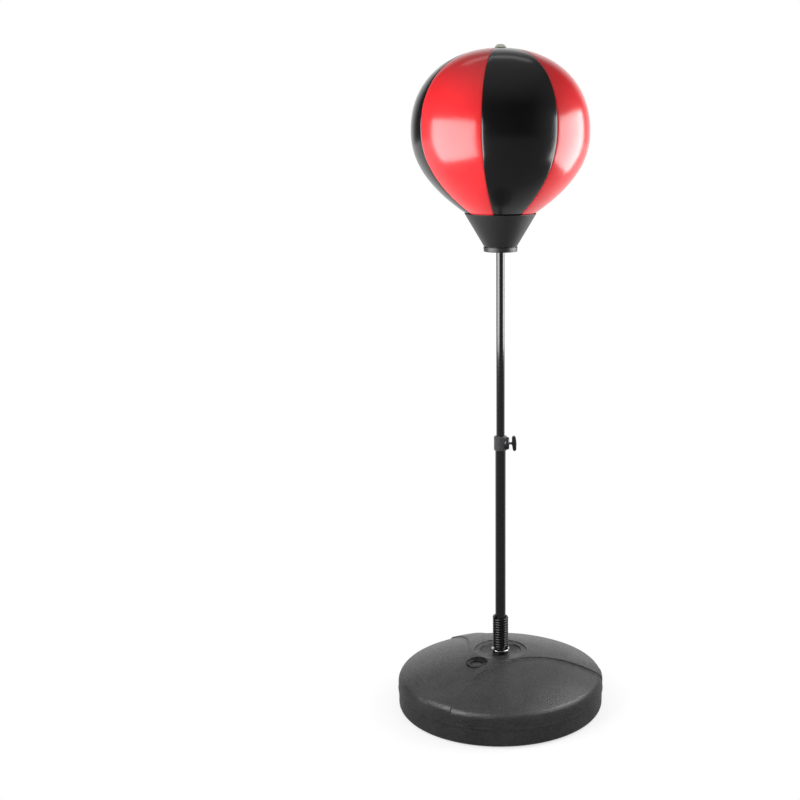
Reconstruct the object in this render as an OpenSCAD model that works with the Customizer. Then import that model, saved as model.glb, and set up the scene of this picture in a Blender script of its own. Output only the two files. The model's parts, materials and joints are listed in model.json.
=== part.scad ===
// Free-standing punch ball: a fillable round base, a close-wound spring,
// a two-tube mast with a thumb-screw clamp, and an inflated ball in a cone cup.
// Millimetres, +Z up. The origin is the middle of the base, on the floor.

/* [Base] */
// Diameter of the base
base_d = 320; // [310:1:330]
// Height of the base's straight side
side_h = 42.5; // [41:0.5:43.5]
// Slope of the dome where it meets the shoulder, in degrees
dome_slope = 26; // [25.7:0.1:26.3]
// Wall of the two base shells at their thinnest
base_wall = 3.2; // [2.8:0.1:3.6]
// Height of the joint between the two base shells
joint_h = 28.5; // [26:0.5:30]
// Depth of the three lobes sunk into the dome
lobe_depth = 2.4; // [1.2:0.1:2.6]

/* [Filler] */
// Diameter of the hollow in the filler stopper
stopper_hollow_d = 18.7; // [16:0.1:18.8]
// Diameter of the stopper's flange
stopper_flange_d = 30.8; // [27:0.1:31]

/* [Spring] */
// Outer diameter of the spring
spring_d = 24.5; // [24.4:0.1:25]
// Diameter of the spring wire
wire_d = 3.8; // [3.6:0.1:3.8]

/* [Mast] */
// Outer diameter of the lower tube
lower_tube_d = 15.9; // [15.8:0.05:15.95]
// Outer diameter of the upper tube
upper_tube_d = 12.7; // [12.6:0.05:12.75]
// Height of the clamp collar's lower end
clamp_z = 408.4; // [380:0.2:420]
// Outer diameter of the clamp collar
clamp_d = 20; // [19.6:0.1:21]

/* [Cup] */
// Height of the cup's lower end
cup_z = 708; // [700:1:712]
// Diameter of the cup's rim
cup_rim_d = 105; // [104.8:0.1:106]

/* [Ball] */
// Diameter of the ball at its widest
ball_d = 257.6; // [256:0.2:258]
// Height of the ball's crown above its widest line
crown_h = 116; // [112:1:124]
// Direction of the first seam, in degrees from +X
first_seam = -100.5; // [-140:0.5:-60]

/* [Hidden] */
PANELS = 8;

smooth = 96;
fine = 48;
running = 0.08; // radial clearance of a sliding or turning fit
seat = 0.05; // radial clearance of a fixed piece in its seat

base_r = base_d / 2;
inset = base_wall + lobe_depth; // how far the top shell's inside lies from its outside
foot_r = 116; // inner edge of the ring that the base stands on
foot_lift = 2;
corner_r = 8; // bottom corner
shoulder_r = 14;
joint_step = 1.2; // the lower shell is this much smaller
shoulder_steps = 6;
dome_steps = 16;

// The dome is a sphere that runs tangent into the shoulder
shoulder_x = base_r - shoulder_r + shoulder_r * sin(dome_slope);
shoulder_z = side_h + shoulder_r * cos(dome_slope);
dome_r = shoulder_x / sin(dome_slope);
dome_cz = shoulder_z - dome_r * cos(dome_slope);
function dome_z(x, drop = 0) = dome_cz + sqrt(pow(dome_r - drop, 2) - x * x);

// The middle of the dome: a round terrace, and inside it a dish that runs down to the flat hub
terrace_r = 40.2;
terrace_z = dome_z(terrace_r) - 1.1;
dish_r = 31.8;
dish_z = terrace_z - 1.5;
hub_r = 16;
hub_z = 82.2;
hub_wall = 4;
boss_z = 60; // lower end of the boss under the hub
socket_r = 9; // hole in the boss that takes the insert

// Each lobe is the part of the dome inside a large circle: direction, distance and radius
lobes = [[-62, 252, 210], [174, 245, 194], [56, 245, 194]];

filler_at = [-36.5, -44];
filler_seat_z = 81.7;
filler_boss_r = 18.5;
neck_r = 10.6;
neck_z = filler_seat_z - 18.8; // lower end of the neck
stopper_r = neck_r - running;
stopper_h = 16.8; // how far the stopper reaches below its flange
flange_h = 2.4;

insert_flange_r = 13;
insert_flange_h = 2.6;
stud_r = 5;
stud_z = boss_z - 3.5; // lower end of the stud
collar_h = 6.3;
collar_top = hub_z + collar_h;
washer_r = 14.3;
washer_h = 1.6;
spring_z = collar_top + washer_h;
stud_top = spring_z + 6.4;
coil_pitch = 4;
coils = 12.6;
spring_top = spring_z + coils * coil_pitch + wire_d;
plug_h = 8.8; // how far the plug and the lower tube each enter the spring

lower_r = lower_tube_d / 2;
lower_bore = lower_r - 1.2;
lower_z = spring_top - plug_h;
lip_h = 3;
clamp_h = 21.6;
clamp_top = clamp_z + clamp_h;
clamp_r = clamp_d / 2;
screw_z = clamp_z + 10.4;
screw_r = 1.9;
insert_r = 3.2;
boss_x = 13.2; // outer face of the boss
stem_gap = 0.3;
pad_x = [upper_tube_d / 2 + stem_gap, upper_tube_d / 2 + 2.4];

upper_r = upper_tube_d / 2;
upper_bore = upper_r - 1;
upper_z = clamp_z - 16.4;
upper_top = cup_z + 30.5;
stem_r = 11; // pedestal inside the cup that takes the tube
pedestal_top = cup_z + 35.8;
bolt_r = 3;

cup_rim_z = cup_z + 55.5;
cup_band_r = 24.5;
cup_wall = 2;

ball_r = ball_d / 2;
ball_z = 880; // height of the widest line
ball_low = 136; // depth of the ball's lower end below it
ball_end_r = 20; // radius where the panels end on the bottom patch
patch_gap = 0.8; // between the panels' ends and the bottom patch
ball_skin = 1.2;
seam_tilt = 4.5; // the seams meet behind the crown, on a line that leans back from the lower end
crown_power = 2.15;
taper_power = 2.17;
crown_u = 0.9885; // the panels stop here, at the valve hole, which stays inside one panel

// Ball outline: u from -1 at the lower end, through 0 at the widest line, to 1 at the crown
function ball_at(u) = u >= 0
    ? [ball_r * pow(cos(90 * u), 2 / crown_power), ball_z + crown_h * pow(sin(90 * u), 2 / crown_power)]
    : [ball_r - (ball_r - ball_end_r) * pow(-u, taper_power), ball_z + u * ball_low];
// The same outline moved inwards by depth
function ball_in(u, depth) =
    let (step = 0.001, along = ball_at(u + step) - ball_at(u - step), t = along / norm(along))
    ball_at(u) + depth * [-t[1], t[0]];
function ball_line(depth, from, to, count) =
    [for (i = [0 : count]) ball_in(from + (to - from) * i / count, depth)];

function dome_line(from, to, lower) =
    [for (i = [1 : dome_steps]) let (x = from + (to - from) * i / dome_steps) [x, dome_z(x) - lower]];

function arc(centre, r, from, to, count) =
    [for (i = [0 : count]) let (a = from + (to - from) * i / count) centre + r * [cos(a), sin(a)]];
function backwards(list) = [for (i = [len(list) - 1 : -1 : 0]) list[i]];

module tube(r_out, r_in, z0, z1) {
    difference() {
        translate([0, 0, z0])
            cylinder(r = r_out, h = z1 - z0, $fn = fine);
        translate([0, 0, z0 - 1])
            cylinder(r = r_in, h = z1 - z0 + 2, $fn = fine);
    }
}

module spin(points) {
    rotate_extrude($fn = smooth)
        polygon(points);
}

// A solid of revolution whose axis is +X through the clamp screw; points are [radius, x]
module spin_x(points) {
    translate([0, 0, screw_z])
        rotate([0, 90, 0])
            rotate_extrude($fn = fine)
                polygon(points);
}

module base_bottom_shell() {
    r = base_r - joint_step;
    bore = r - base_wall;
    tongue = [base_r - inset - 2.6, base_r - inset - 0.2];
    color([0.17, 0.17, 0.18])
        spin(concat(
            [[0, foot_lift], [foot_r, foot_lift], [foot_r + 2, 0]],
            arc([r - corner_r, corner_r], corner_r, -90, 0, 6),
            [[r, joint_h], [tongue[1], joint_h], [tongue[1], joint_h + 6], [tongue[0], joint_h + 6]],
            [[tongue[0], joint_h - 6], [bore, joint_h - 10]],
            arc([r - corner_r, corner_r], corner_r - base_wall, 0, -90, 4),
            [[foot_r + 2, base_wall], [foot_r, base_wall + foot_lift], [0, base_wall + foot_lift]]));
}

module dome_body() {
    inner_x = (dome_r - inset) * sin(dome_slope);
    spin(concat(
        [[base_r - inset, joint_h], [base_r - joint_step, joint_h], [base_r, joint_h + joint_step]],
        arc([base_r - shoulder_r, side_h], shoulder_r, 0, 90 - dome_slope, shoulder_steps),
        dome_line(shoulder_x, terrace_r, 0),
        [[terrace_r - 0.2, terrace_z], [dish_r, terrace_z], [dish_r - 0.3, dish_z]],
        [[hub_r, hub_z], [0, hub_z]],
        [[0, hub_z - hub_wall], [hub_r + 2, hub_z - hub_wall], [dish_r + 2, dish_z - hub_wall]],
        [for (i = [0 : 10]) let (x = terrace_r + (inner_x - terrace_r) * i / 10) [x, dome_z(x, inset)]],
        arc([base_r - shoulder_r, side_h], shoulder_r - inset, 60 - dome_slope / 2, 0, 4)));
}

// What the lobes take off: everything above the same outline lowered by lobe_depth
module lobe_cutter() {
    intersection() {
        union()
            for (lobe = lobes)
                rotate(lobe[0])
                    translate([lobe[1], 0, 0])
                        cylinder(r = lobe[2], h = 200, $fn = 180);
        spin(concat(
            [[base_r + 20, side_h - 12], [base_r + 1, side_h - 12]],
            arc([base_r - shoulder_r, side_h - lobe_depth], shoulder_r, 12, 90 - dome_slope, shoulder_steps),
            dome_line(shoulder_x, hub_r, lobe_depth),
            [[hub_r, 120], [base_r + 20, 120]]));
    }
}

module base_top_shell() {
    color([0.2, 0.2, 0.21])
        difference() {
            union() {
                difference() {
                    dome_body();
                    lobe_cutter();
                }
                translate([0, 0, boss_z])
                    cylinder(r = hub_r, h = hub_z - boss_z - 1, $fn = fine);
                translate([filler_at[0], filler_at[1], neck_z])
                    cylinder(r = filler_boss_r, h = filler_seat_z - neck_z - 1, $fn = fine);
            }
            translate([filler_at[0], filler_at[1], filler_seat_z])
                cylinder(d = stopper_flange_d + 1, h = 20, $fn = fine);
            translate([filler_at[0], filler_at[1], 0])
                cylinder(r = neck_r, h = 100, $fn = fine);
            translate([0, 0, boss_z - 10])
                cylinder(r = socket_r, h = 50, $fn = fine);
        }
}

// A push-in stopper: flange, hollow plug with a rounded tip, and a notch to lift it by
module filler_stopper() {
    r = stopper_r;
    hollow = stopper_hollow_d / 2;
    flange = stopper_flange_d / 2;
    low = filler_seat_z - stopper_h;
    top = filler_seat_z + flange_h;
    color([0.1, 0.1, 0.1])
        translate([filler_at[0], filler_at[1], 0])
            difference() {
                spin([[0, low], [r - 2, low], [r, low + 3], [r, filler_seat_z], [flange, filler_seat_z],
                    [flange, top - 0.8], [flange - 0.8, top], [hollow + 0.6, top], [hollow, top - 0.6],
                    [hollow, low + 3], [hollow - 1, low + 2], [0, low + 2]]);
                rotate(42)
                    translate([flange - 1.8, -2.5, filler_seat_z + 0.8])
                        cube([4, 5, 5]);
            }
}

module socket_insert() {
    color([0.75, 0.68, 0.4])
        difference() {
            union() {
                translate([0, 0, boss_z])
                    cylinder(r = socket_r - seat, h = hub_z - boss_z, $fn = fine);
                translate([0, 0, boss_z - insert_flange_h])
                    cylinder(r = insert_flange_r, h = insert_flange_h, $fn = fine);
            }
            cylinder(r = stud_r + seat, h = 100, $fn = fine);
        }
}

module anchor_stud() {
    color([0.6, 0.6, 0.62])
        spin([[0, stud_z], [stud_r - 1, stud_z], [stud_r, stud_z + 1], [stud_r, stud_top], [0, stud_top]]);
}

module anchor_collar() {
    r = spring_d / 2;
    color([0.08, 0.08, 0.08])
        spin([[stud_r + seat, hub_z], [r - 0.6, hub_z], [r, hub_z + 0.6], [r, collar_top - 0.6],
            [r - 0.6, collar_top], [stud_r + seat, collar_top]]);
}

module anchor_washer() {
    r = washer_r;
    color([0.78, 0.78, 0.8])
        spin([[stud_r + seat, collar_top], [r - 0.4, collar_top], [r, collar_top + 0.4],
            [r, spring_z - 0.4], [r - 0.4, spring_z], [stud_r + seat, spring_z]]);
}

module spring_plug() {
    r = spring_d / 2 - wire_d - 0.3;
    color([0.15, 0.15, 0.15])
        difference() {
            spin([[0, spring_z], [r, spring_z], [r, spring_z + plug_h - 1], [r - 1, spring_z + plug_h],
                [0, spring_z + plug_h]]);
            translate([0, 0, spring_z - 1])
                cylinder(r = stud_r + seat, h = stud_top - spring_z + 1.2, $fn = fine);
        }
}

// Close-wound spring: an eight-sided wire swept up a helix, sixteen rings a turn
module spring() {
    sides = 8;
    rings = round(coils * 16);
    wire_r = wire_d / 2;
    coil_r = spring_d / 2 - wire_r;
    points = [for (i = [0 : rings]) for (j = [0 : sides - 1])
        let (turn = 360 * coils * i / rings, side = 360 * (j + 0.5) / sides, r = coil_r + wire_r * cos(side))
        [r * cos(turn), r * sin(turn), spring_z + wire_r + coil_pitch * coils * i / rings + wire_r * sin(side)]];
    function corner(i, j) = i * sides + j % sides;
    skin = [for (i = [0 : rings - 1]) for (j = [0 : sides - 1]) each [
        [corner(i, j), corner(i + 1, j), corner(i + 1, j + 1)],
        [corner(i, j), corner(i + 1, j + 1), corner(i, j + 1)]]];
    ends = [[for (j = [0 : sides - 1]) corner(0, j)], [for (j = [sides - 1 : -1 : 0]) corner(rings, j)]];
    color([0.07, 0.07, 0.07])
        polyhedron(points, concat(skin, ends));
}

module lower_tube() {
    color([0.07, 0.07, 0.08])
        difference() {
            tube(lower_r, lower_bore, lower_z, clamp_top - lip_h);
            translate([0, 0, screw_z])
                rotate([0, 90, 0])
                    cylinder(r = insert_r + seat, h = 20, $fn = fine);
        }
}

module clamp_collar() {
    color([0.16, 0.16, 0.17])
        difference() {
            spin([[lower_r + seat, clamp_z], [clamp_r - 1, clamp_z], [clamp_r, clamp_z + 1],
                [clamp_r, clamp_top - 1], [clamp_r - 1, clamp_top], [upper_r + running, clamp_top],
                [upper_r + running, clamp_top - lip_h], [lower_r + seat, clamp_top - lip_h]]);
            translate([0, 0, screw_z])
                rotate([0, 90, 0])
                    cylinder(r = insert_r + seat, h = 20, $fn = fine);
        }
}

// Dished round boss on the collar's side that carries the screw
module clamp_boss() {
    r = 9.6;
    color([0.07, 0.07, 0.07])
        difference() {
            spin_x([[insert_r + seat, 6], [r - 1.4, 6], [r, 8.5], [r, boss_x - 1.6], [r - 0.8, boss_x - 0.4],
                [r - 2, boss_x], [r - 4, boss_x - 0.8], [insert_r + seat, boss_x - 1.2]]);
            cylinder(r = clamp_r + seat, h = 1000, $fn = fine);
        }
}

module clamp_insert() {
    color([0.75, 0.65, 0.35])
        spin_x([[screw_r + running, lower_r + 0.1], [insert_r, lower_r + 0.1], [insert_r, boss_x - 1.2],
            [screw_r + running, boss_x - 1.2]]);
}

// Tip that presses on the upper tube and doesn't turn with the screw
module clamp_pad() {
    color([0.85, 0.8, 0.6])
        spin_x([[0, pad_x[0]], [screw_r - 0.3, pad_x[0]], [screw_r, pad_x[0] + 0.3], [screw_r, pad_x[1]],
            [0.9, pad_x[1]], [0.9, pad_x[1] + 1.6], [0, pad_x[1] + 1.6]]);
}

module clamp_screw() {
    start = pad_x[1] + 0.1;
    color([0.2, 0.2, 0.2])
        difference() {
            spin_x([[0, start], [screw_r, start], [screw_r, 21.5], [0, 21.5]]);
            spin_x([[0, start - 1], [0.9 + running, start - 1], [0.9 + running, start + 1.8], [0, start + 1.8]]);
        }
}

// Wing head: a hub on the screw and two wings that lean outwards
module screw_wing() {
    color([0.1, 0.1, 0.1])
        difference() {
            union() {
                spin_x([[0, 16.8], [2.6, 16.8], [3.8, 18.4], [3.8, 22.6], [2.8, 23.6], [0, 23.6]]);
                translate([0, 0, screw_z])
                    hull() {
                        translate([20.1, 0, 8.4])
                            rotate([90, 0, 0])
                                cylinder(r = 2.9, h = 6, center = true, $fn = 32);
                        translate([21.2, 0, -8.8])
                            rotate([90, 0, 0])
                                cylinder(r = 2.6, h = 6, center = true, $fn = 32);
                        translate([20.7, 0, 0])
                            rotate([90, 0, 0])
                                cylinder(r = 3.5, h = 7, center = true, $fn = 32);
                    }
            }
            spin_x([[0, 16], [screw_r + seat, 16], [screw_r + seat, 21.6], [0, 21.6]]);
        }
}

// Guide on the inner tube's lower end, sliding in the outer tube
module tube_glide() {
    r = lower_bore - seat;
    spigot = upper_bore - running;
    color([0.9, 0.9, 0.88])
        spin([[0, upper_z - 4], [r - 0.5, upper_z - 4], [r, upper_z - 3.5], [r, upper_z], [spigot, upper_z],
            [spigot, upper_z + 11], [spigot - 1, upper_z + 12], [0, upper_z + 12]]);
}

module upper_tube() {
    color([0.07, 0.07, 0.08])
        tube(upper_r, upper_bore, upper_z + 0.1, upper_top);
}

module tube_end_plug() {
    color([0.7, 0.7, 0.72])
        tube(upper_bore - seat, bolt_r + seat, upper_top - 24, upper_top);
}

// Cone cup: a band at its foot, a pedestal inside for the tube, and a thin rim
module cup() {
    rim_r = cup_rim_d / 2;
    slope = (rim_r - cup_band_r) / (cup_rim_z - cup_z - 8); // run of the cone for one up
    side = cup_wall * sqrt(1 + slope * slope);
    color([0.14, 0.14, 0.15])
        spin([[upper_r + seat, cup_z], [cup_band_r, cup_z], [cup_band_r + 0.6, cup_z + 6.6],
            [cup_band_r - 0.6, cup_z + 7.4], [cup_band_r, cup_z + 8], [rim_r, cup_rim_z],
            [rim_r - 1.4, cup_rim_z], [cup_band_r - side + slope * 4, cup_z + 12],
            [cup_band_r - side - 2, cup_z + 10], [stem_r + 1, cup_z + 10], [stem_r, cup_z + 12],
            [stem_r, pedestal_top], [bolt_r + seat, pedestal_top], [bolt_r + seat, upper_top],
            [upper_r + seat, upper_top]]);
}

module cup_bolt() {
    head_z = pedestal_top + 4.4;
    color([0.7, 0.7, 0.72])
        union() {
            translate([0, 0, upper_top - 20])
                cylinder(r = bolt_r, h = head_z - upper_top + 21, $fn = fine);
            translate([0, 0, head_z])
                cylinder(r = 5.7, h = 4, $fn = 6);
        }
}

module ball_bottom_patch() {
    color([0.06, 0.06, 0.06])
        tube(ball_end_r - patch_gap, bolt_r + seat, pedestal_top + 0.1, pedestal_top + 1.4);
}

module ball_anchor_disc() {
    color([0.1, 0.1, 0.1])
        tube(ball_end_r - 2, bolt_r + seat, pedestal_top + 1.4, pedestal_top + 4.4);
}

module ball_bladder() {
    outer = ball_line(1.6, -0.925, crown_u - 0.004, 24);
    inner = ball_line(2.3, -0.92, crown_u - 0.004, 24);
    color([0.75, 0.6, 0.45])
        spin(concat([[0, outer[0][1]]], outer, backwards(inner), [[0, inner[0][1]]]));
}

module ball_valve() {
    crown = ball_z + crown_h;
    stem = 2.8;
    color([0.85, 0.87, 0.78])
        difference() {
            spin([[0, crown - 12], [2.2, crown - 12], [stem, crown - 8], [stem, crown + 0.1], [8.2, crown + 0.1],
                [8.2, crown + 1], [7.4, crown + 2.6], [5.8, crown + 4.2], [4, crown + 5], [0, crown + 5]]);
            translate([0, 0, crown - 5])
                cylinder(r = 0.9, h = 20, $fn = fine);
        }
}

// One gore of the cover: what a wedge about the leaning seam line takes of the whole cover,
// which ends on the bottom patch and at the valve hole
module panel(number, tint) {
    outer = ball_line(0, -1, crown_u, 26);
    inner = ball_line(ball_skin, -1, crown_u, 20);
    wedge = 360 / PANELS;
    reach = 2 * ball_d;
    color(tint)
        intersection() {
            spin(concat(outer, backwards(inner)));
            translate([0, 0, ball_z - ball_low])
                rotate([-seam_tilt, 0, 0])
                    rotate(first_seam + number * wedge)
                        translate([0, 0, -reach / 4])
                            linear_extrude(reach)
                                polygon([[0, 0], [reach, 0], reach * [cos(wedge), sin(wedge)]]);
        }
}

black_cover = [0.05, 0.05, 0.05];
red_cover = [0.85, 0.09, 0.11];

base_bottom_shell();
base_top_shell();
filler_stopper();
socket_insert();
anchor_stud();
anchor_collar();
anchor_washer();
spring_plug();
spring();
lower_tube();
clamp_collar();
clamp_boss();
clamp_insert();
clamp_pad();
clamp_screw();
screw_wing();
tube_glide();
upper_tube();
tube_end_plug();
cup();
cup_bolt();
ball_anchor_disc();
ball_bottom_patch();
ball_bladder();
ball_valve();
panel(0, black_cover);  // panel_black_1
panel(1, red_cover);  // panel_red_1
panel(2, black_cover);  // panel_black_2
panel(3, red_cover);  // panel_red_2
panel(4, black_cover);  // panel_black_3
panel(5, red_cover);  // panel_red_3
panel(6, black_cover);  // panel_black_4
panel(7, red_cover);  // panel_red_4
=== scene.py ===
import json
import math

import bmesh
import bpy
import numpy as np
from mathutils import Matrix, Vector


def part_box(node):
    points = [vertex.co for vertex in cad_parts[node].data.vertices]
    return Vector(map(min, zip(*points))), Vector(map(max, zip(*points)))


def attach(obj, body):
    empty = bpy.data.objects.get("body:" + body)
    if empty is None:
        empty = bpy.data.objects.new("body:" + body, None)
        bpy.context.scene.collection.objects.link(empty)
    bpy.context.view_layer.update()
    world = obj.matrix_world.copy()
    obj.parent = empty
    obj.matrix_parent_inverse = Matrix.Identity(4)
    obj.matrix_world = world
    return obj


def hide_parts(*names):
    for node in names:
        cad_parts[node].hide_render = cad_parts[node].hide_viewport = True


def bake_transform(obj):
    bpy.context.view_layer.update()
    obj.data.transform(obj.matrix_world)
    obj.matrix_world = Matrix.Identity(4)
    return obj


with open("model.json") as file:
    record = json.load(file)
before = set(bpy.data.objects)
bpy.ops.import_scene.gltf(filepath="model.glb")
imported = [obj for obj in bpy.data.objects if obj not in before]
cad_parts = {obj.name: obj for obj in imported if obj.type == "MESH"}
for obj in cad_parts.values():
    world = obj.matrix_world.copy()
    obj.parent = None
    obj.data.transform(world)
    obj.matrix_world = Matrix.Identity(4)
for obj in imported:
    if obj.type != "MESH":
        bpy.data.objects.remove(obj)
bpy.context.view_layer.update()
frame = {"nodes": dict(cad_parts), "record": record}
nodes = frame["nodes"]
mm = 0.001  # the frame is in metres, and the sizes below are in millimetres
print("frame loaded:", len(nodes), "nodes")


def meshObject(name, points, faces, sharpAngle=35):
    # One object at the origin from arrays of points and faces, smooth up to the given angle
    mesh = bpy.data.meshes.new(name)
    mesh.from_pydata(points.reshape(-1, 3).tolist(), [], faces.tolist())
    work = bmesh.new()
    work.from_mesh(mesh)
    bmesh.ops.remove_doubles(work, verts=work.verts, dist=0.002 * mm)
    bmesh.ops.dissolve_degenerate(work, edges=work.edges, dist=0.001 * mm)
    bmesh.ops.recalc_face_normals(work, faces=work.faces)
    work.to_mesh(mesh)
    work.free()
    mesh.polygons.foreach_set("use_smooth", np.ones(len(mesh.polygons), bool))
    mesh.set_sharp_from_angle(angle=math.radians(sharpAngle))
    mesh.update()
    piece = bpy.data.objects.new(name, mesh)
    bpy.context.scene.collection.objects.link(piece)
    return piece


def gridFaces(rows, columns, wrapRows=False, wrapColumns=False):
    # Four-sided faces of a grid of rows by columns, joined end to start where it wraps
    i = np.arange(rows if wrapRows else rows - 1)[:, None]
    j = np.arange(columns if wrapColumns else columns - 1)[None, :]
    down, right = (i + 1) % rows, (j + 1) % columns
    corners = [i * columns + j, i * columns + right, down * columns + right, down * columns + j]
    return np.stack(corners, axis=-1).reshape(-1, 4)


def rounded(corners, steps=5):
    # A polyline whose corner (r, z, radius) is cut back by radius and bridged by a quadratic curve
    corner = np.array([c[:2] for c in corners], float)
    radius = np.array([c[2] if len(c) > 2 else 0 for c in corners], float)
    points = []
    for k in range(len(corner)):
        before, after = corner[k - 1] - corner[k], corner[(k + 1) % len(corner)] - corner[k]
        if radius[k] == 0:
            points.append(corner[k])
            continue
        a = corner[k] + before / np.linalg.norm(before) * min(radius[k], np.linalg.norm(before) / 2)
        b = corner[k] + after / np.linalg.norm(after) * min(radius[k], np.linalg.norm(after) / 2)
        for t in np.linspace(0, 1, steps):
            points.append((1 - t) ** 2 * a + 2 * t * (1 - t) * corner[k] + t * t * b)
    return np.array(points)


def lathe(name, corners, segments, bottom):
    # A closed profile of (radius, height) corners in mm, turned about the mast above the given height
    line = rounded(corners) * mm
    turn = np.linspace(0, 2 * np.pi, segments, endpoint=False)
    radius, height = line[:, :1], line[:, 1:] + bottom
    across, along = radius * np.cos(turn), radius * np.sin(turn)
    points = np.stack([across, along, height + np.zeros_like(across)], axis=-1)
    return meshObject(name, points, gridFaces(len(line), segments, wrapRows=True, wrapColumns=True))


def finishPiece(piece, body, slot, replaced):
    # The slot's material, the CAD node that the piece stands for, and the body it rides on when one is given
    piece.data.materials.clear()
    piece.data.materials.append(materials[slot])
    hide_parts(replaced)
    if body:
        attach(piece, body)


def smoothStep(x, low, high):
    # 0 below low, 1 above high, and a cubic with level ends between them
    t = np.clip((x - low) / (high - low), 0, 1)
    return t * t * (3 - 2 * t)


def link(tree, a, b):
    tree.links.new(a, b)


def mathNode(tree, operation, a, b=None):
    node = tree.nodes.new("ShaderNodeMath")
    node.operation = operation
    for socket, value in zip(node.inputs, (a, b)):
        if value is None:
            continue
        if isinstance(value, (int, float)):
            socket.default_value = value
        else:
            link(tree, value, socket)
    return node.outputs[0]


def noiseNode(tree, vector, scale, detail=2.0, roughness=0.5):
    node = tree.nodes.new("ShaderNodeTexNoise")
    node.inputs["Scale"].default_value = scale
    node.inputs["Detail"].default_value = detail
    node.inputs["Roughness"].default_value = roughness
    link(tree, vector, node.inputs["Vector"])
    return node.outputs["Fac"]


def rangeNode(tree, value, low, high, toLow, toHigh):
    node = tree.nodes.new("ShaderNodeMapRange")
    for name, number in (("From Min", low), ("From Max", high), ("To Min", toLow), ("To Max", toHigh)):
        node.inputs[name].default_value = number
    link(tree, value, node.inputs["Value"])
    return node.outputs["Result"]


def newGroup(name, inputs, outputs):
    group = bpy.data.node_groups.new(name, "ShaderNodeTree")
    group.interface.new_socket(name="Vector", in_out="INPUT", socket_type="NodeSocketVector")
    for label, value in inputs:
        socket = group.interface.new_socket(name=label, in_out="INPUT", socket_type="NodeSocketFloat")
        socket.default_value = value
    for label in outputs:
        group.interface.new_socket(name=label, in_out="OUTPUT", socket_type="NodeSocketFloat")
    return group, group.nodes.new("NodeGroupInput"), group.nodes.new("NodeGroupOutput")


def makeGrainGroup():
    # Moulded grain: fine pebbles on broader ones, as a height and as a mask for the gloss and for the painted
    # shade in the hollows
    group, given, out = newGroup("mouldedGrain", [("Fine", 900.0), ("Broad", 260.0)], ["Height", "Mask"])
    tree = group
    cell = tree.nodes.new("ShaderNodeTexVoronoi")
    cell.feature = "SMOOTH_F1"
    cell.inputs["Smoothness"].default_value = 0.6
    link(tree, given.outputs["Vector"], cell.inputs["Vector"])
    link(tree, given.outputs["Fine"], cell.inputs["Scale"])
    broad = tree.nodes.new("ShaderNodeTexNoise")
    broad.inputs["Detail"].default_value = 3.0
    link(tree, given.outputs["Vector"], broad.inputs["Vector"])
    link(tree, given.outputs["Broad"], broad.inputs["Scale"])
    height = mathNode(tree, "ADD", mathNode(tree, "MULTIPLY", cell.outputs["Distance"], 0.6),
                      mathNode(tree, "MULTIPLY", broad.outputs["Fac"], 0.7))
    link(tree, height, out.inputs["Height"])
    link(tree, rangeNode(tree, height, 0.35, 0.85, 0.0, 1.0), out.inputs["Mask"])
    return group


def makeHandlingGroup():
    # Handling: wide soft blotches and fine directionless scuffs, both from 0 to 1
    group, given, out = newGroup("handling", [("Blotch", 14.0), ("Scuff", 90.0)], ["Blotch", "Scuff"])
    for label, low, high in (("Blotch", 0.35, 0.7), ("Scuff", 0.52, 0.8)):
        noise = group.nodes.new("ShaderNodeTexNoise")
        noise.inputs["Detail"].default_value = 5.0
        noise.inputs["Roughness"].default_value = 0.6
        noise.inputs["Distortion"].default_value = 0.4
        link(group, given.outputs["Vector"], noise.inputs["Vector"])
        link(group, given.outputs[label], noise.inputs["Scale"])
        link(group, rangeNode(group, noise.outputs["Fac"], low, high, 0.0, 1.0), out.inputs[label])
    return group


def makePeelGroup():
    # Orange peel: the shallow waves that sprayed paint and calendered covers dry with
    group, given, out = newGroup("orangePeel", [("Scale", 220.0), ("Long", 40.0)], ["Height"])
    short = group.nodes.new("ShaderNodeTexNoise")
    short.inputs["Detail"].default_value = 1.0
    wide = group.nodes.new("ShaderNodeTexNoise")
    wide.inputs["Detail"].default_value = 2.0
    for node, label in ((short, "Scale"), (wide, "Long")):
        link(group, given.outputs["Vector"], node.inputs["Vector"])
        link(group, given.outputs[label], node.inputs["Scale"])
    link(group, mathNode(group, "ADD", short.outputs["Fac"],
                         mathNode(group, "MULTIPLY", wide.outputs["Fac"], 2.0)), out.inputs["Height"])
    return group


effects = {"grain": makeGrainGroup(), "handling": makeHandlingGroup(), "peel": makePeelGroup()}


def placeGroup(tree, name, vector, **values):
    node = tree.nodes.new("ShaderNodeGroup")
    node.node_tree = effects[name]
    link(tree, vector, node.inputs["Vector"])
    for label, value in values.items():
        node.inputs[label].default_value = value
    return node


def newMaterial(name, fixed):
    material = bpy.data.materials.new(name)
    material.use_nodes = True
    tree = material.node_tree
    shader = tree.nodes["Principled BSDF"]
    for label, value in fixed.items():
        shader.inputs[label].default_value = value
    coordinates = tree.nodes.new("ShaderNodeTexCoord")
    return material, tree, shader, coordinates.outputs["Object"]


def mixColours(tree, factor, a, b):
    node = tree.nodes.new("ShaderNodeMix")
    node.data_type = "RGBA"
    node.inputs["A"].default_value = (*a, 1)
    node.inputs["B"].default_value = (*b, 1)
    link(tree, factor, node.inputs["Factor"])
    return node.outputs["Result"]


def addBump(tree, shader, height, depth, strength=1.0):
    bump = tree.nodes.new("ShaderNodeBump")
    bump.inputs["Strength"].default_value = strength
    bump.inputs["Distance"].default_value = depth * mm
    link(tree, height, bump.inputs["Height"])
    link(tree, bump.outputs["Normal"], shader.inputs["Normal"])


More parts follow.
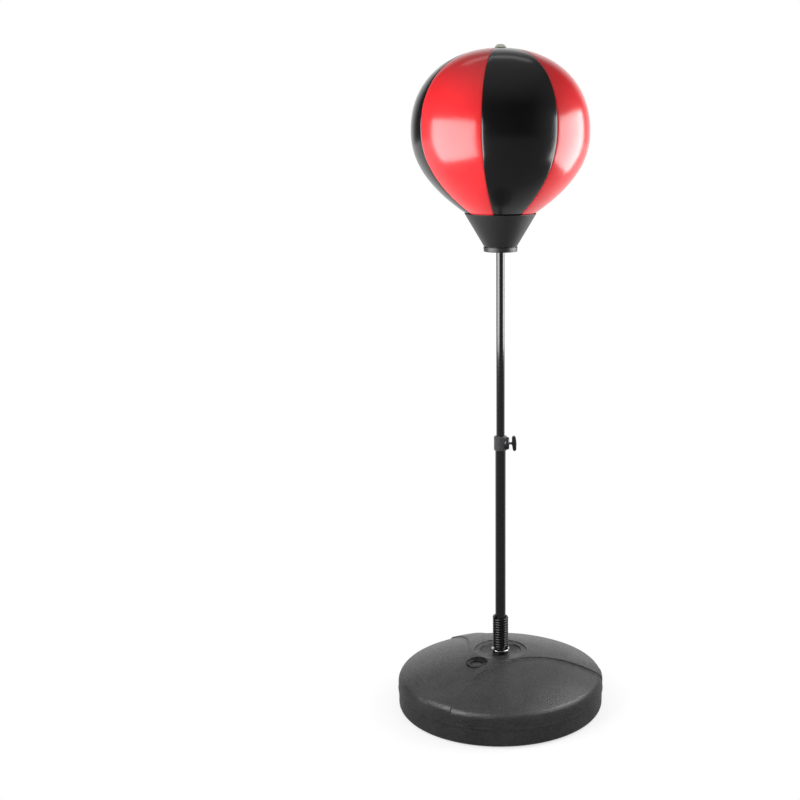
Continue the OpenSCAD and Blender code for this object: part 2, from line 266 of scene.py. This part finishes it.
def mouldedPlastic(name, light, dark, rough, fine, broad, depth, fixed=None):
    # Grained plastic: the hollows of the grain are duller than its tops, and darker by painted shade
    material, tree, shader, place = newMaterial(name, fixed or {})
    grain = placeGroup(tree, "grain", place, Fine=fine, Broad=broad)
    wear = placeGroup(tree, "handling", place)
    # Painted shade: the hollows of the grain take the dark colour, mixed with random blotches of tone
    blotchesAndPaintedShade = mathNode(tree, "ADD", mathNode(tree, "MULTIPLY", wear.outputs["Blotch"], 0.35),
                     mathNode(tree, "MULTIPLY", grain.outputs["Mask"], 0.65))
    link(tree, mixColours(tree, blotchesAndPaintedShade, dark, light), shader.inputs["Base Color"])
    gloss = mathNode(tree, "ADD", rangeNode(tree, grain.outputs["Mask"], 0, 1, rough[1], rough[0]),
                     mathNode(tree, "MULTIPLY", wear.outputs["Scuff"], 0.06))
    link(tree, gloss, shader.inputs["Roughness"])
    addBump(tree, shader, grain.outputs["Height"], depth)
    return material


def sprayedPaint(name, colour, tint, rough, peel, depth, fixed=None):
    material, tree, shader, place = newMaterial(name, fixed or {})
    waves = placeGroup(tree, "peel", place, Scale=peel)
    wear = placeGroup(tree, "handling", place, Blotch=9.0)
    link(tree, mixColours(tree, wear.outputs["Blotch"], colour, tint), shader.inputs["Base Color"])
    link(tree, rangeNode(tree, wear.outputs["Scuff"], 0, 1, rough[0], rough[1]), shader.inputs["Roughness"])
    addBump(tree, shader, waves.outputs["Height"], depth)
    return material


def coverLeather(name, colour, deep, rough):
    # Coated cover cloth: a fine pebble under a smooth coat, a little deeper in colour in blotches
    material, tree, shader, place = newMaterial(name, {})
    grain = placeGroup(tree, "grain", place, Fine=1500.0, Broad=420.0)
    waves = placeGroup(tree, "peel", place, Scale=120.0, Long=28.0)
    wear = placeGroup(tree, "handling", place, Blotch=11.0, Scuff=70.0)
    link(tree, mixColours(tree, wear.outputs["Blotch"], deep, colour), shader.inputs["Base Color"])
    link(tree, rangeNode(tree, wear.outputs["Scuff"], 0, 1, rough[0], rough[1]), shader.inputs["Roughness"])
    height = mathNode(tree, "ADD", mathNode(tree, "MULTIPLY", grain.outputs["Height"], 0.18),
                      waves.outputs["Height"])
    addBump(tree, shader, height, 0.06)
    return material


def brightZinc(name):
    # Plated steel turned on a lathe: fine rings about the mast, and a little bluer where it is darker
    material, tree, shader, place = newMaterial(name, {"Metallic": 1.0})
    rings = tree.nodes.new("ShaderNodeTexWave")
    rings.wave_type = "RINGS"
    rings.rings_direction = "Z"
    rings.inputs["Scale"].default_value = 900.0
    rings.inputs["Distortion"].default_value = 1.5
    link(tree, place, rings.inputs["Vector"])
    wear = placeGroup(tree, "handling", place, Blotch=60.0, Scuff=300.0)
    link(tree, mixColours(tree, wear.outputs["Blotch"], (0.4, 0.41, 0.43), (0.56, 0.56, 0.55)),
         shader.inputs["Base Color"])
    link(tree, rangeNode(tree, wear.outputs["Scuff"], 0, 1, 0.22, 0.36), shader.inputs["Roughness"])
    addBump(tree, shader, rings.outputs["Fac"], 0.004, 0.4)
    return material


materials = {
    "base_plastic": mouldedPlastic("basePlastic", (0.056, 0.056, 0.058), (0.006, 0.006, 0.007),
                                   (0.28, 0.5), 900.0, 340.0, 0.4),
    "stopper_plastic": mouldedPlastic("stopperPlastic", (0.008, 0.008, 0.008), (0.006, 0.006, 0.006),
                                      (0.42, 0.5), 1500.0, 500.0, 0.02, {"Specular IOR Level": 0.25}),
    "thread_brass": sprayedPaint("threadBrass", (0.7, 0.5, 0.2), (0.76, 0.58, 0.28), (0.25, 0.4),
                                 300.0, 0.01, {"Metallic": 1.0}),
    "zinc_steel": brightZinc("zincSteel"),
    "mast_paint": sprayedPaint("mastPaint", (0.006, 0.006, 0.0065), (0.008, 0.008, 0.0085), (0.16, 0.24),
                               260.0, 0.012, {"Coat Weight": 0.4, "Coat Roughness": 0.08}),
    "clamp_steel": sprayedPaint("clampSteel", (0.035, 0.035, 0.037), (0.045, 0.045, 0.048), (0.3, 0.4),
                                700.0, 0.02),
    "spring_steel": sprayedPaint("springSteel", (0.006, 0.006, 0.006), (0.009, 0.009, 0.009), (0.2, 0.3),
                                 500.0, 0.012),
    "knob_plastic": mouldedPlastic("knobPlastic", (0.014, 0.014, 0.014), (0.01, 0.01, 0.01),
                                   (0.3, 0.38), 1800.0, 700.0, 0.015),
    "guide_nylon": mouldedPlastic("guideNylon", (0.78, 0.76, 0.68), (0.7, 0.68, 0.6),
                                  (0.35, 0.45), 1800.0, 700.0, 0.01),
    "cup_plastic": mouldedPlastic("cupPlastic", (0.013, 0.013, 0.0135), (0.010, 0.010, 0.0105),
                                  (0.34, 0.44), 1700.0, 500.0, 0.02),
    "cover_red": coverLeather("coverRed", (0.6, 0.024, 0.028), (0.54, 0.018, 0.022), (0.2, 0.26)),
    "cover_black": coverLeather("coverBlack", (0.005, 0.005, 0.0052), (0.0035, 0.0035, 0.0036), (0.2, 0.26)),
    "bladder_rubber": mouldedPlastic("bladderRubber", (0.5, 0.34, 0.22), (0.42, 0.28, 0.18),
                                     (0.45, 0.55), 700.0, 200.0, 0.03),
    "valve_rubber": mouldedPlastic("valveRubber", (0.66, 0.68, 0.56), (0.58, 0.6, 0.48),
                                   (0.35, 0.45), 1400.0, 500.0, 0.02),
}
print("materials made:", len(materials))

for part in frame["record"]["subparts"]:
    cadNode = nodes[part["node"]]
    cadNode.data.materials.clear()
    cadNode.data.materials.append(materials[part["material_slot"]])


gore = {
    "count": 8,
    "firstSeam": -100.5,  # degrees from +X
    "tilt": 4.5,  # the seams meet behind the crown, on a line that leans back from the lower end
    "widest": 0.5397,  # height of the widest line, as a share of the cover's height
    "endRadius": 20.0,
    "crownPower": 2.15, "taperPower": 2.17,
    "rows": 170, "columns": 58, "thickness": 1.2,
    "groove": 0.55, "grooveWidth": 0.7,  # where the edges turn in to the seam
    "pull": 0.14, "pullWidth": 5.0,  # the seam holds the cover in a little
    "pucker": 0.045, "puckerWidth": 5.0, "puckerLength": 12.0,
    "puckerMix": (1.0, 1.73, 0.61),  # lengths of the puckers' three ripples, as shares of puckerLength
    "wave": 0.10, "waveLength": 52.0,
    "waveMix": (1.0, 0.63, 1.41, 0.37), "waveSkew": 1.2,
    "crowd": 1.7,  # how far the columns crowd to the edges
    "fullWidth": 35.0, "leastShare": 0.08,  # below this width the edges' detail shrinks, down to this share
    "seed": 40, "halvings": 40,
}


def coverRadius(z, low, high):
    # Above the widest line the outline is an arc of power crownPower, below it a taper of power taperPower
    endRadius = gore["endRadius"] * mm
    widestZ = low.z + gore["widest"] * (high.z - low.z)
    power = gore["crownPower"]
    up = np.clip((z - widestZ) / (high.z - widestZ), 0, 1)
    down = np.clip((widestZ - z) / (widestZ - low.z), 0, 1)
    above = high.x * (1 - up ** power) ** (1 / power)
    below = high.x - (high.x - endRadius) * down ** gore["taperPower"]
    return np.where(z >= widestZ, above, below)


def coverNormal(points, low, high):
    # Outward normal of the turned outline: level direction from the mast, tipped by the outline's slope
    flat = points[..., :2] / np.maximum(np.linalg.norm(points[..., :2], axis=-1, keepdims=True), 1e-9)
    z = np.clip(points[..., 2], low.z + 0.02 * mm, high.z - 0.02 * mm)
    step = 0.01 * mm
    slope = (coverRadius(z + step, low, high) - coverRadius(z - step, low, high)) / (2 * step)
    normal = np.concatenate([flat, -slope[..., None]], axis=-1)
    return normal / np.linalg.norm(normal, axis=-1, keepdims=True)


def goreSurface(index, v, low, high):
    # Rays from a point on the leaning seam line, fanned from the line's upper end down to the cover's
    # end ring in each of the gore's planes, and each cut off by halving where it leaves the outline
    tilt, step = math.radians(gore["tilt"]), 2 * np.pi / gore["count"]
    turn = math.radians(gore["firstSeam"]) + step * (index + (v + 1) / 2)
    line = np.array([0, math.sin(tilt), math.cos(tilt)])
    level = np.stack([np.cos(turn), np.sin(turn) * math.cos(tilt), -np.sin(turn) * math.sin(tilt)], axis=-1)
    foot = np.array([0, 0, low.z])
    centre = foot + line * gore["widest"] * (high.z - low.z)
    outward = level + (np.sin(turn) * math.tan(tilt))[:, None] * line
    ends = foot + gore["endRadius"] * mm * outward / np.linalg.norm(outward, axis=-1, keepdims=True) - centre
    lastAngle = np.arccos(ends @ line / np.linalg.norm(ends, axis=-1))
    fan = np.linspace(0, 1, gore["rows"])[:, None] * lastAngle
    ray = np.cos(fan)[..., None] * line + np.sin(fan)[..., None] * level
    near, far = np.zeros(fan.shape), np.full(fan.shape, 2 * high.x)
    for _ in range(gore["halvings"]):
        half = (near + far) / 2
        point = centre + half[..., None] * ray
        inside = np.linalg.norm(point[..., :2], axis=-1) < coverRadius(point[..., 2], low, high)
        inside &= (point[..., 2] > low.z) & (point[..., 2] < high.z)
        near, far = np.where(inside, half, near), np.where(inside, far, half)
    return centre + near[..., None] * ray, near * np.sin(fan) * step


def makeGore(index, name, low, high):
    # The gore's surface sunk along its normal by the seams' groove and pull, by puckers and by long waves
    random = np.random.default_rng(gore["seed"] + index)
    t = np.linspace(-1, 1, gore["columns"])
    v = np.sign(t) * (1 - (1 - np.abs(t)) ** gore["crowd"])
    surface, width = goreSurface(index, v, low, high)
    path = np.cumsum(np.linalg.norm(np.diff(surface, axis=0, prepend=surface[:1]), axis=-1), axis=0) / mm
    edge = (1 - np.abs(v)) * width / 2 / mm
    small = np.clip(width / (gore["fullWidth"] * mm), gore["leastShare"], 1)
    sink = gore["groove"] * np.exp(-edge / (gore["grooveWidth"] * small)) * small
    sink = sink + gore["pull"] * np.exp(-(edge / (gore["pullWidth"] * small)) ** 2) * small
    phase = random.uniform(0, 2 * np.pi, (2, 3))
    side = (v > 0).astype(int)
    ripple = sum(np.sin(path / (gore["puckerLength"] * k) * 2 * np.pi + phase[side, n])
                 for n, k in enumerate(gore["puckerMix"])) / 3
    sink = sink + gore["pucker"] * ripple * small * np.exp(-(edge / gore["puckerWidth"]) ** 2)
    wide = random.uniform(0, 2 * np.pi, 4)
    sway = sum(np.sin(path / gore["waveLength"] * 2 * np.pi * k + wide[n] + v * (n - 1.5) * gore["waveSkew"])
               for n, k in enumerate(gore["waveMix"])) / 4
    sink = sink + gore["wave"] * (1 + sway) * small
    points = surface - coverNormal(surface, low, high) * sink[..., None] * mm
    piece = meshObject(name, points, gridFaces(gore["rows"], gore["columns"]), 60)
    centre = piece.data.polygons[len(piece.data.polygons) // 2]
    if centre.normal.x * centre.center.x + centre.normal.y * centre.center.y < 0:
        piece.data.flip_normals()
    wall = piece.modifiers.new("thickness", "SOLIDIFY")
    wall.thickness = gore["thickness"] * mm
    wall.offset = -1
    return piece


coverNodes = [n for n in nodes if n.startswith("panel_")]
coverLow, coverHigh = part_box(coverNodes[0])
for name in coverNodes:
    low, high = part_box(name)
    coverLow.z, coverHigh.z = min(coverLow.z, low.z), max(coverHigh.z, high.z)
    coverHigh.x = max(coverHigh.x, abs(low.x), abs(high.x), abs(low.y), abs(high.y))
for index in range(gore["count"]):
    colour = "black" if index % 2 == 0 else "red"
    number = index // 2 + 1
    piece = makeGore(index, f"gore_{colour}_{number}", coverLow, coverHigh)
    finishPiece(piece, "upper_mast", f"cover_{colour}", f"panel_{colour}_{number}")
print("ball cover made")


coil = {"wire": 3.8, "pitch": 4.0, "turns": 12.6, "sides": 20, "stepsPerTurn": 56}


def makeCoils(name, fromTurn, toTurn):
    # A circle of the wire's radius carried along a helix about the mast, closed at both ends
    low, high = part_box("spring")
    wireRadius = coil["wire"] / 2 * mm
    coilRadius = high.x - wireRadius
    count = round((toTurn - fromTurn) * coil["stepsPerTurn"]) + 1
    turn = np.linspace(fromTurn, toTurn, count)[:, None]
    side = np.linspace(0, 2 * np.pi, coil["sides"], endpoint=False)[None, :]
    slope = math.atan(coil["pitch"] * mm / (2 * np.pi * coilRadius))
    angle = turn * 2 * np.pi
    out, up = wireRadius * np.cos(side), wireRadius * np.sin(side)
    r = coilRadius + out
    x = r * np.cos(angle) + up * np.sin(angle) * math.sin(slope)
    y = r * np.sin(angle) - up * np.cos(angle) * math.sin(slope)
    z = low.z + wireRadius + coil["pitch"] * mm * turn + up * math.cos(slope)
    rings = np.stack([x, y, z], axis=-1)
    ends = [rings[:1].mean(axis=1, keepdims=True).repeat(coil["sides"], axis=1),
            rings[-1:].mean(axis=1, keepdims=True).repeat(coil["sides"], axis=1)]
    points = np.concatenate([ends[0], rings, ends[1]])
    return meshObject(name, points, gridFaces(count + 2, coil["sides"], wrapColumns=True), 50)


springLow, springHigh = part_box("spring")
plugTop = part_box("spring_plug")[1].z
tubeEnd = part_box("lower_tube")[0].z
midZ = (plugTop + tubeEnd) / 2
midTurn = (midZ - springLow.z - coil["wire"] / 2 * mm) / (coil["pitch"] * mm)
coils = {
    "spring_lower_coils": (0, midTurn, "base", "spring", plugTop, midZ),
    "spring_upper_coils": (midTurn, coil["turns"], "spring", "lower_mast", midZ, tubeEnd),
}
for name, (fromTurn, toTurn, below, above, start, end) in coils.items():
    piece = makeCoils(name, fromTurn, toTurn)
    finishPiece(piece, None, "spring_steel", "spring")
    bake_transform(piece)
print("spring made")


baseTop = {
    "jointLip": 1.2, "beadHeight": 2.0, "beadProud": 0.5,  # a bead runs round above the joint
    "sideTop": 42.5, "shoulder": 14.0, "slope": 26.0,  # slope of the dome where it meets the shoulder
    "wall": 5.6, "innerCorner": 47.0,
    "terrace": 40.2, "terraceDrop": 1.1, "dish": 31.8, "dishDrop": 1.5, "hub": 16.0, "hubHeight": 82.2,
    "hubWall": 4.0, "hole": 9.0, "edge": 0.6,
    "lobes": ((-62.0, 252.0, 210.0), (56.0, 245.0, 194.0), (174.0, 245.0, 194.0)),
    "lobeDepth": 2.4, "lobeEdge": 1.3,  # direction, distance and radius above; depth and width of the step
    "filler": (-36.5, -44.0), "seatHeight": 81.7, "seatRadius": 15.9, "snap": 0.9,
    "inLobe": 84, "betweenLobes": 60, "narrowest": 14.0,  # columns, and a lobe's least half angle
}


def baseOutline(radius, joint):
    # Radius and height from the joint over the bead, side, shoulder, dome, terrace and dish to the hub, with
    # the share of the lobes' depth that each point takes, then back along the inside
    part, edge = baseTop, baseTop["edge"]
    side = radius - part["beadProud"]
    slope, inner = math.radians(part["slope"]), part["wall"]
    shoulderX = side - part["shoulder"] * (1 - math.sin(slope))
    domeRadius = shoulderX / math.sin(slope)
    domeZ = part["sideTop"] + (part["shoulder"] - domeRadius) * math.cos(slope)
    bead = joint + part["beadHeight"]
    foot = rounded([(radius - part["jointLip"], joint, 0.3), (radius, joint + 0.5, 0.6), (radius, bead, 0.7),
                    (side, bead + 0.9, 0.5), (side, part["sideTop"])], 4)[:-1]
    flank = np.stack([np.full(7, side), np.linspace(foot[-1, 1] + 0.6, part["sideTop"] - 0.5, 7)], axis=-1)
    turn = np.linspace(0, np.pi / 2 - slope, 26)
    shoulder = np.stack([side - part["shoulder"] * (1 - np.cos(turn)),
                         part["sideTop"] + part["shoulder"] * np.sin(turn)], axis=-1)
    x = np.concatenate([np.linspace(shoulderX, 66, 76)[1:], np.linspace(66, part["terrace"] + 0.5, 40)[1:]])
    dome = np.stack([x, domeZ + np.sqrt(domeRadius ** 2 - x ** 2)], axis=-1)
    rim = domeZ + math.sqrt(domeRadius ** 2 - part["terrace"] ** 2)
    terrace = rim - part["terraceDrop"]
    dish = terrace - part["dishDrop"]
    middle = rounded([(part["terrace"] + 0.5, rim), (part["terrace"], rim, 0.4),
                      (part["terrace"] - 0.3, terrace, 0.3), (part["dish"] + 0.2, terrace, edge),
                      (part["dish"] - 0.3, dish, 0.5), (part["hub"], part["hubHeight"], 2.0),
                      (part["hole"], part["hubHeight"])], 5)[1:]
    x = np.linspace(part["terrace"], (domeRadius - inner) * math.sin(slope), 9)
    roof = np.stack([x, domeZ + np.sqrt((domeRadius - inner) ** 2 - x ** 2)], axis=-1)
    hubRoof = part["hubHeight"] - part["hubWall"]
    under = np.array([(part["hole"], hubRoof), (part["hub"] + 2, hubRoof), (part["dish"] + 2, dish - 4)])
    turn = np.radians(np.linspace(part["innerCorner"], 0, 4))
    corner = np.stack([side - part["shoulder"] + (part["shoulder"] - inner) * np.cos(turn),
                       part["sideTop"] + (part["shoulder"] - inner) * np.sin(turn)], axis=-1)
    outside = np.concatenate([foot, flank, shoulder, dome, middle])
    inside = np.concatenate([under, roof, corner, [(radius - inner, joint)]])
    sinks = np.clip((outside[:, 1] - bead - 1) / (part["sideTop"] - bead - 1), 0, 1)
    return np.concatenate([outside, inside]), np.concatenate([sinks, np.zeros(len(inside))])


def lobeColumns(radius):
    # Each row's turning angles: the columns crowd to the lobes' edges, which cross a circle of this radius
    # where the law of cosines says, and spread out evenly between them
    edges = []
    for direction, distance, size in baseTop["lobes"]:
        middle = size - baseTop["lobeEdge"] / 2
        cosine = (radius ** 2 + distance ** 2 - middle ** 2) / (2 * radius * distance)
        half = np.maximum(np.arccos(np.clip(cosine, -1, 1)), math.radians(baseTop["narrowest"]))
        edges += [math.radians(direction) - half, math.radians(direction) + half]
    angles = []
    for k, start in enumerate(edges):
        end = edges[k + 1] if k + 1 < len(edges) else edges[0] + 2 * np.pi
        count, crowd = (baseTop["inLobe"], 0.9) if k % 2 == 0 else (baseTop["betweenLobes"], 0.6)
        t = np.linspace(0, 1, count, endpoint=False)
        t = t - crowd * np.sin(2 * np.pi * t) / (2 * np.pi)
        angles.append(start[:, None] + (end - start)[:, None] * t)
    return np.concatenate(angles, axis=1)


def makeBaseTop(name):
    # The outline turned about the mast, dropped by the lobes' depth inside the lobes' circles and down to
    # the seat inside the filler's circle, whose nearest points move on to the circle itself
    low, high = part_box("base_top_shell")
    line, sinks = baseOutline(high.x / mm, low.z / mm)
    angle = lobeColumns(line[:, 0])
    x, y = line[:, :1] * np.cos(angle), line[:, :1] * np.sin(angle)
    inLobe = np.zeros(x.shape)
    for direction, distance, size in baseTop["lobes"]:
        turn = math.radians(direction)
        depth = size - np.hypot(x - distance * math.cos(turn), y - distance * math.sin(turn))
        inLobe = np.maximum(inLobe, smoothStep(depth, 0, baseTop["lobeEdge"]))
    z = line[:, 1:] - baseTop["lobeDepth"] * inLobe * sinks[:, None]
    fx, fy = baseTop["filler"]
    seat, snap = baseTop["seatRadius"], baseTop["snap"]
    away = np.hypot(x - fx, y - fy)
    outer = (sinks > 0.99)[:, None]
    goal = np.where(away < seat, seat - 0.1, seat + 0.2)
    moved = np.where(outer & (np.abs(away - seat) < snap), goal / np.maximum(away, 1e-6), 1)
    x, y = fx + (x - fx) * moved, fy + (y - fy) * moved
    z = np.where(outer & (away < seat), np.minimum(z, baseTop["seatHeight"] - 0.05), z)
    points = np.stack([x, y, z], axis=-1) * mm
    return meshObject(name, points, gridFaces(len(line), angle.shape[1], wrapRows=True, wrapColumns=True), 40)


finishPiece(makeBaseTop("base_top_cover"), "base", "base_plastic", "base_top_shell")
print("base top made")


cupShape = {
    "foot": 24.5, "band": 8.0, "bulge": 0.6, "rim": 52.5, "height": 55.5, "wall": 2.3,
    "stem": 11.0, "pedestal": 35.8, "bolt": 3.05, "tube": 6.4, "socket": 30.5, "segments": 128,
}


def makeCup(name):
    # A band at the foot, a straight cone to a rolled rim, and inside it the pedestal that takes the tube
    part, low = cupShape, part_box("cup")[0].z
    foot, band = part["foot"], part["band"]
    return lathe(name, [
        (part["tube"], 0, 0.3), (foot, 0, 0.6), (foot + part["bulge"], band - 1.6, 0.6),
        (foot - 0.5, band - 0.7, 0.3), (foot, band, 0.4), (part["rim"], part["height"] - 0.4, 0.6),
        (part["rim"] - 0.6, part["height"], 0.3), (part["rim"] - 1.5, part["height"] - 0.3, 0.4),
        (foot, band + 4, 2), (foot - part["wall"] - 2, band + 2, 1), (part["stem"] + 1, band + 2, 1),
        (part["stem"], band + 4, 1), (part["stem"], part["pedestal"], 0.6), (part["bolt"], part["pedestal"]),
        (part["bolt"], part["socket"]), (part["tube"], part["socket"])], part["segments"], low)


finishPiece(makeCup("cup_cone"), "upper_mast", "cup_plastic", "cup")

valveShape = {
    "flange": 8.2, "height": 4.9, "stem": 2.8, "tip": 2.2, "hole": 0.9, "depth": 12.0, "segments": 64,
    "proud": 5.0,  # the CAD valve's height above the ball's crown, where the heights here start
}


def makeValve(name):
    # A low dome on a thin flange, a stem that goes down through the cover, and a needle hole
    part, crown = valveShape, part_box("ball_valve")[1].z - valveShape["proud"] * mm
    return lathe(name, [
        (part["hole"], part["height"] - 0.7, 0.2), (part["hole"] + 0.5, part["height"], 0.3),
        (4.4, part["height"], 1.6), (7.0, 2.9, 1.4), (part["flange"] - 0.2, 1.2, 0.6),
        (part["flange"], 0.1, 0.2), (part["stem"], 0.1, 0.1), (part["stem"], -8, 0.4),
        (part["tip"], -part["depth"], 0.4),
        (part["hole"], -part["depth"])], part["segments"], crown)


finishPiece(makeValve("valve_stub"), "upper_mast", "valve_rubber", "ball_valve")
print("cup and valve made")


studio = {
    "eye": (0, -1.912, 0.892), "pitch": 12.0, "focal": 58.7, "shift": -0.1256,
    "floorRadius": 9.0, "floorFade": (0.0, 0.22),  # where the floor goes over to white, from and to
    "floorMirrored": (-0.1, 0.7, 0.22, 0.95),  # what gloss sees of the floor: dim in front, bright behind
    "dark": 0.03,  # what the front of the room gives back
    "back": (0.72, 0.95, 1.1), "top": (0.55, 1.0, 0.35), "right": (0.6, 1.0, 0.3),  # from, to, strength
}


def aimedLight(name, place, target, size, power, mirrored):
    light = bpy.data.lights.new(name, "AREA")
    light.shape = "RECTANGLE"
    light.size, light.size_y = size
    light.energy = power
    lamp = bpy.data.objects.new(name, light)
    bpy.context.scene.collection.objects.link(lamp)
    lamp.location = place
    direction = np.array(target, float) - np.array(place, float)
    flat = math.hypot(direction[0], direction[1])
    lamp.rotation_euler = (math.atan2(flat, -direction[2]), 0, math.atan2(-direction[0], direction[1]))
    lamp.visible_camera = False
    lamp.visible_glossy = mirrored


def makeWorld():
    # White to the eye; what the object mirrors is dark in front and bright behind, above and below
    world = bpy.data.worlds.new("studio")
    bpy.context.scene.world = world
    world.use_nodes = True
    tree = world.node_tree
    tree.nodes.clear()
    place = tree.nodes.new("ShaderNodeTexCoord")
    parts = tree.nodes.new("ShaderNodeSeparateXYZ")
    link(tree, place.outputs["Generated"], parts.inputs["Vector"])
    x, y, z = (parts.outputs[axis] for axis in "XYZ")
    level = studio["dark"]
    for value, (low, high, strength) in ((y, studio["back"]), (z, studio["top"]), (x, studio["right"])):
        level = mathNode(tree, "ADD", rangeNode(tree, value, low, high, 0.0, strength), level)
    seen = tree.nodes.new("ShaderNodeBackground")
    mirrored = tree.nodes.new("ShaderNodeBackground")
    link(tree, level, mirrored.inputs["Strength"])
    mirrored.inputs["Color"].default_value = (1, 1, 1, 1)
    seen.inputs["Color"].default_value = (1, 1, 1, 1)
    path = tree.nodes.new("ShaderNodeLightPath")
    mix = tree.nodes.new("ShaderNodeMixShader")
    link(tree, path.outputs["Is Camera Ray"], mix.inputs["Fac"])
    link(tree, mirrored.outputs[0], mix.inputs[1])
    link(tree, seen.outputs[0], mix.inputs[2])
    out = tree.nodes.new("ShaderNodeOutputWorld")
    link(tree, mix.outputs[0], out.inputs["Surface"])


def makeFloor():
    # A pale disc that brightens to the background's white away from the object
    rows, columns = 40, 96
    r = np.linspace(0, 1, rows)[:, None] ** 2 * studio["floorRadius"]
    turn = np.linspace(0, 2 * np.pi, columns, endpoint=False)[None, :]
    points = np.stack([r * np.cos(turn), r * np.sin(turn), 0 * r * turn], axis=-1)
    floor = meshObject("floor", points, gridFaces(rows, columns, wrapColumns=True))
    if floor.data.polygons[0].normal.z < 0:
        floor.data.flip_normals()
    material = bpy.data.materials.new("paleFloor")
    material.use_nodes = True
    tree = material.node_tree
    shader = tree.nodes["Principled BSDF"]
    shader.inputs["Base Color"].default_value = (0.86, 0.86, 0.86, 1)
    shader.inputs["Roughness"].default_value = 0.9
    shader.inputs["Specular IOR Level"].default_value = 0.1
    place = tree.nodes.new("ShaderNodeTexCoord")
    length = tree.nodes.new("ShaderNodeVectorMath")
    length.operation = "LENGTH"
    link(tree, place.outputs["Object"], length.inputs[0])
    path = tree.nodes.new("ShaderNodeLightPath")
    far = rangeNode(tree, length.outputs["Value"], *studio["floorFade"], 0.0, 1.0)
    amount = mathNode(tree, "MULTIPLY", far, path.outputs["Is Camera Ray"])
    glow = tree.nodes.new("ShaderNodeEmission")
    shown = tree.nodes.new("ShaderNodeMixShader")
    link(tree, amount, shown.inputs["Fac"])
    link(tree, shader.outputs[0], shown.inputs[1])
    link(tree, glow.outputs[0], shown.inputs[2])
    parts = tree.nodes.new("ShaderNodeSeparateXYZ")
    link(tree, place.outputs["Object"], parts.inputs["Vector"])
    dim = tree.nodes.new("ShaderNodeEmission")
    link(tree, rangeNode(tree, parts.outputs["Y"], *studio["floorMirrored"]), dim.inputs["Strength"])
    mix = tree.nodes.new("ShaderNodeMixShader")
    link(tree, path.outputs["Is Glossy Ray"], mix.inputs["Fac"])
    link(tree, shown.outputs[0], mix.inputs[1])
    link(tree, dim.outputs[0], mix.inputs[2])
    link(tree, mix.outputs[0], tree.nodes["Material Output"].inputs["Surface"])
    floor.data.materials.append(material)


def makeCamera():
    data = bpy.data.cameras.new("camera")
    data.lens = studio["focal"]
    data.sensor_width = 36
    data.shift_x = studio["shift"]
    camera = bpy.data.objects.new("camera", data)
    bpy.context.scene.collection.objects.link(camera)
    camera.location = studio["eye"]
    camera.rotation_euler = (math.radians(90 - studio["pitch"]), 0, 0)
    bpy.context.scene.camera = camera


makeWorld()
makeFloor()
makeCamera()
ballZ = (coverLow.z + coverHigh.z) / 2
lights = {  # place, target, width and height, watts, and whether gloss mirrors it
    "softboxLeft": ((-0.515, -0.316, 0.72), (0, 0, 0.72), (0.70, 0.54), 10.2, True),
    "softboxRight": ((0.62, 0.06, 0.74), (0, 0, 0.74), (0.62, 0.58), 8.8, True),
    "stripTop": ((-0.05, 0.6, 1.85), (0, 0, ballZ), (0.8, 0.09), 0.35, True),
    "fillTop": ((0.2, -0.4, 2.6), (0, 0, 0.2), (1.6, 1.6), 11, False),
}
for name, (place, target, size, power, mirrored) in lights.items():
    aimedLight(name, place, target, size, power, mirrored)
bpy.context.scene.view_settings.view_transform = "Standard"
print("studio made")
